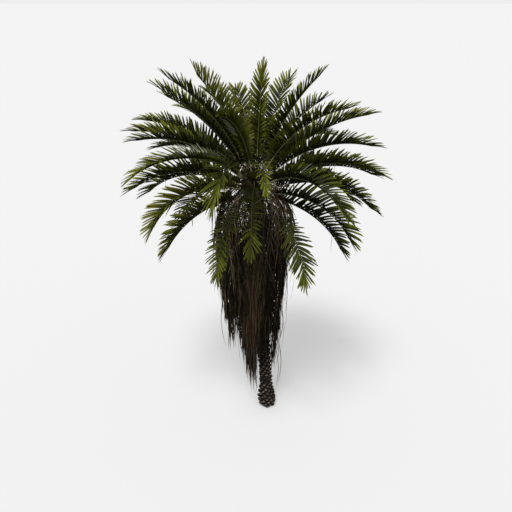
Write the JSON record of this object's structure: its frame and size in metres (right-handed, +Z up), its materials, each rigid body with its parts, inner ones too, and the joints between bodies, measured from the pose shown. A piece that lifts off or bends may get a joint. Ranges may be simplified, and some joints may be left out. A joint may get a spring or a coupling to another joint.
{
  "type": "date palm tree",
  "caption": "Date palm tree rooted in the ground: a slim leaning trunk with a swollen foot, a skirt of dead fronds round it and a round crown of arching feather fronds.",
  "frame": {"origin": "middle of the flat cut under the trunk, at ground level", "axes": "+Z up; +X to the right and +Y away from the front, so the trunk leans towards -X"},
  "size_m": [6.6313, 6.1114, 9.7857],
  "materials": {
    "bark": "rough lattice of old frond bases, matt grey-brown",
    "frond": "leathery green leaflets with a slight sheen",
    "dead_frond": "dry dark brown thatch, matt"
  },
  "bodies": {
    "root": {"frond_a1": "frond", "frond_a2": "frond", "frond_a3": "frond", "frond_a4": "frond", "frond_a5": "frond", "frond_b1": "frond", "frond_b2": "frond", "frond_b3": "frond", "frond_b4": "frond", "frond_b5_inner": "frond", "frond_b5_outer": "frond", "frond_b6": "frond", "frond_b7": "frond", "frond_b8": "frond", "frond_c1": "frond", "frond_c10_inner": "frond", "frond_c10_outer": "frond", "frond_c11": "frond", "frond_c2": "frond", "frond_c3": "frond", "frond_c4": "frond", "frond_c5": "frond", "frond_c6": "frond", "frond_c7": "frond", "frond_c8": "frond", "frond_c9": "frond", "frond_d1": "frond", "frond_d2": "frond", "frond_d3": "frond", "frond_d4": "frond", "frond_d5": "frond", "frond_d6": "frond", "frond_d7_inner": "frond", "frond_d7_outer": "frond", "frond_d8_inner": "frond", "frond_d8_outer": "frond", "frond_e1": "frond", "frond_e10": "frond", "frond_e11": "frond", "frond_e12": "frond", "frond_e2": "frond", "frond_e3_inner": "frond", "frond_e3_outer": "frond", "frond_e4": "frond", "frond_e5": "frond", "frond_e6": "frond", "frond_e7_inner": "frond", "frond_e7_outer": "frond", "frond_e8_inner": "frond", "frond_e8_outer": "frond", "frond_e9": "frond", "skirt_back": "dead_frond", "skirt_back_left": "dead_frond", "skirt_back_right": "dead_frond", "skirt_front": "dead_frond", "skirt_front_left": "dead_frond", "skirt_front_right": "dead_frond", "skirt_left": "dead_frond", "skirt_right": "dead_frond", "trunk": "bark"}
  },
  "joints": []
}
